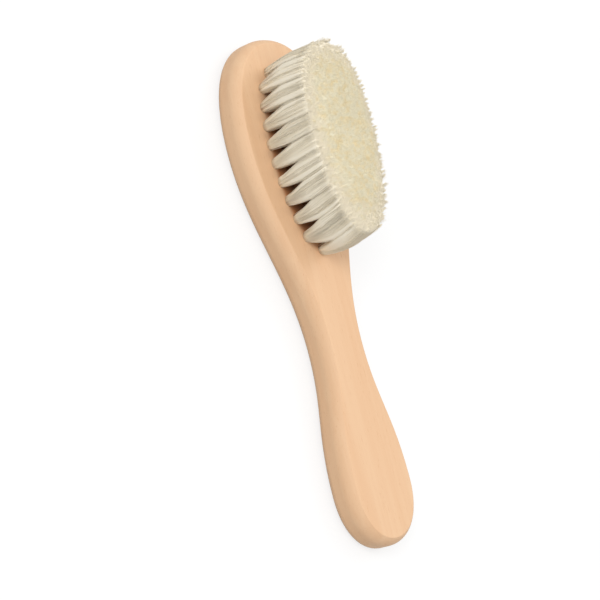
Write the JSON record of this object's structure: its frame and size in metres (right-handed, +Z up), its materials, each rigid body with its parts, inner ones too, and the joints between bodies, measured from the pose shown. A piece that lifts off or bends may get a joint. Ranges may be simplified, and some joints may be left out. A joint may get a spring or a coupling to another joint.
{
  "type": "clothes brush",
  "caption": "Long-handled soft brush with an oval head: one-piece pale wooden body and a dense flat-trimmed block of off-white natural hair, for brushing garments.",
  "frame": {"origin": "centre of the footprint on the flat back the brush lies on", "axes": "+X across the brush, +Y along it from the handle's end to the head, +Z up from the flat back towards the hair tips"},
  "size_m": [0.0454, 0.18, 0.0381],
  "materials": {
    "wood": "smooth sanded, unvarnished",
    "goat_hair": "soft natural hair, matte",
    "anchor_wire": "flat drawn wire"
  },
  "bodies": {
    "root": {"anchor_wires": "anchor_wire", "stock": "wood", "tuft_row01_1": "goat_hair", "tuft_row02_1": "goat_hair", "tuft_row02_2": "goat_hair", "tuft_row02_3": "goat_hair", "tuft_row03_1": "goat_hair", "tuft_row03_2": "goat_hair", "tuft_row03_3": "goat_hair", "tuft_row03_4": "goat_hair", "tuft_row04_1": "goat_hair", "tuft_row04_2": "goat_hair", "tuft_row04_3": "goat_hair", "tuft_row04_4": "goat_hair", "tuft_row05_1": "goat_hair", "tuft_row05_2": "goat_hair", "tuft_row05_3": "goat_hair", "tuft_row05_4": "goat_hair", "tuft_row05_5": "goat_hair", "tuft_row06_1": "goat_hair", "tuft_row06_2": "goat_hair", "tuft_row06_3": "goat_hair", "tuft_row06_4": "goat_hair", "tuft_row06_5": "goat_hair", "tuft_row07_1": "goat_hair", "tuft_row07_2": "goat_hair", "tuft_row07_3": "goat_hair", "tuft_row07_4": "goat_hair", "tuft_row07_5": "goat_hair", "tuft_row08_1": "goat_hair", "tuft_row08_2": "goat_hair", "tuft_row08_3": "goat_hair", "tuft_row08_4": "goat_hair", "tuft_row08_5": "goat_hair", "tuft_row09_1": "goat_hair", "tuft_row09_2": "goat_hair", "tuft_row09_3": "goat_hair", "tuft_row09_4": "goat_hair", "tuft_row10_1": "goat_hair", "tuft_row10_2": "goat_hair", "tuft_row10_3": "goat_hair", "tuft_row10_4": "goat_hair", "tuft_row11_1": "goat_hair", "tuft_row11_2": "goat_hair"}
  },
  "joints": []
}
